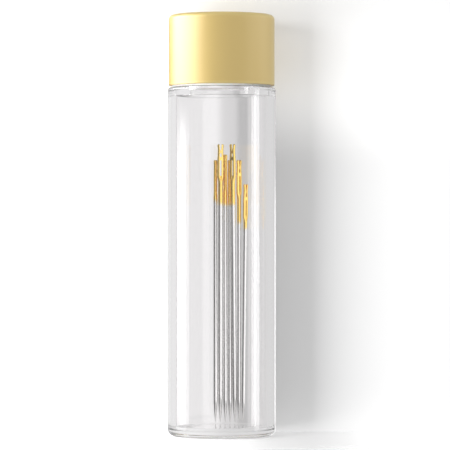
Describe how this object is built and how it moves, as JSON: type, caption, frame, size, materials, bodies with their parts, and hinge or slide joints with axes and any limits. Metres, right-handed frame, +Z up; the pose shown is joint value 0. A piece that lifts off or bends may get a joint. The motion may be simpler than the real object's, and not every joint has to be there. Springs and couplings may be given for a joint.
{
  "type": "needle vial",
  "caption": "Clear round vial with a flush gold screw cap, holding easy-threading hand-sewing needles with split snap eyes and gold-plated heads.",
  "frame": {"origin": "centre of the vial's base, on the plane that it stands on", "axes": "+Z up the vial's axis towards the cap; -Y towards the picture's camera, so the needles stand along the +Y wall"},
  "size_m": [0.0154, 0.0154, 0.0601],
  "materials": {
    "clear_plastic": "clear and polished",
    "gold_anodised": "satin, gold anodised",
    "white_plastic": "natural moulded",
    "white_foam": "closed-cell foam",
    "plated_steel": "polished steel with gold-plated heads"
  },
  "bodies": {
    "vial": {"vial": "clear_plastic"},
    "seal": {"sealing_disc": "white_foam"},
    "cap": {"cap_shell": "gold_anodised", "cap_liner": "white_plastic"},
    "needle_1": {"needle_1": "plated_steel"},
    "needle_2": {"needle_2": "plated_steel"},
    "needle_3": {"needle_3": "plated_steel"},
    "needle_4": {"needle_4": "plated_steel"},
    "needle_5": {"needle_5": "plated_steel"},
    "needle_6": {"needle_6": "plated_steel"},
    "needle_7": {"needle_7": "plated_steel"}
  },
  "joints": [
    {"name": "cap_rise", "type": "slide", "parent": "vial", "child": "seal", "axis": [0, 0, 1], "range_m": [0, 0.00954]},
    {"name": "cap_turn", "type": "hinge", "parent": "seal", "child": "cap", "pos_m": [0, 0, 0.0576], "axis": [0, 0, 1], "range_deg": [0, 1622]},
    {"name": "needle_1_slide", "type": "slide", "parent": "vial", "child": "needle_1", "axis": [0, 0, 1], "range_m": [0, 0.0087]},
    {"name": "needle_2_slide", "type": "slide", "parent": "vial", "child": "needle_2", "axis": [0.0011, -0.0299, 0.9996], "range_m": [0, 0.0065]},
    {"name": "needle_3_slide", "type": "slide", "parent": "vial", "child": "needle_3", "axis": [0, 0, 1], "range_m": [0, 0.0079]},
    {"name": "needle_4_slide", "type": "slide", "parent": "vial", "child": "needle_4", "axis": [0, 0, 1], "range_m": [0, 0.0087]},
    {"name": "needle_5_slide", "type": "slide", "parent": "vial", "child": "needle_5", "axis": [-0.0094, -0.0272, 0.9996], "range_m": [0, 0.0065]},
    {"name": "needle_6_slide", "type": "slide", "parent": "vial", "child": "needle_6", "axis": [0, 0, 1], "range_m": [0, 0.0087]},
    {"name": "needle_7_slide", "type": "slide", "parent": "vial", "child": "needle_7", "axis": [0.0118, -0.0075, 0.9999], "range_m": [0, 0.0122]}
  ],
  "couplings": [
    {"joint": "cap_turn", "follows": "cap_rise", "rad_per_m": 2963.8}
  ]
}
